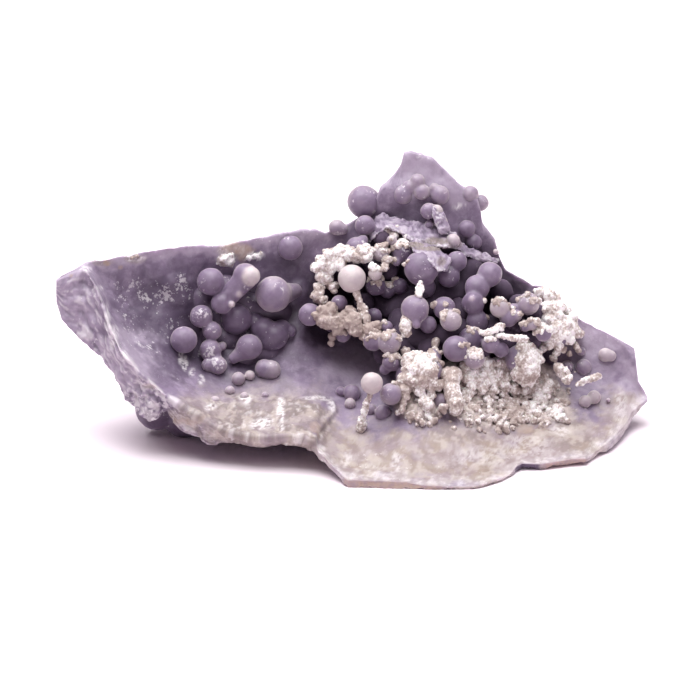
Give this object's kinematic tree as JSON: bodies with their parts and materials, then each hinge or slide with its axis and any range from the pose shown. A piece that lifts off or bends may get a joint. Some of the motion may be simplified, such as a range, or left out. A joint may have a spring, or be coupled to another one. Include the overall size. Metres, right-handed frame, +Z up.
{
  "type": "botryoidal chalcedony",
  "caption": "Broken hollow plate of purple botryoidal chalcedony, high at the back, with round balls and a white granular crust grown in its hollow.",
  "frame": {"origin": "on the flat underside that the specimen rests on, below the middle of its width as seen from the front", "axes": "+Z up from the table, +X to the right along the longest side, the open hollow faces -Y"},
  "size_m": [0.0984, 0.048, 0.0433],
  "materials": {
    "purple_stone": "waxy translucent purple chalcedony with frosted and white crusted places"
  },
  "bodies": {
    "root": {"chalcedony": "purple_stone"}
  },
  "joints": []
}
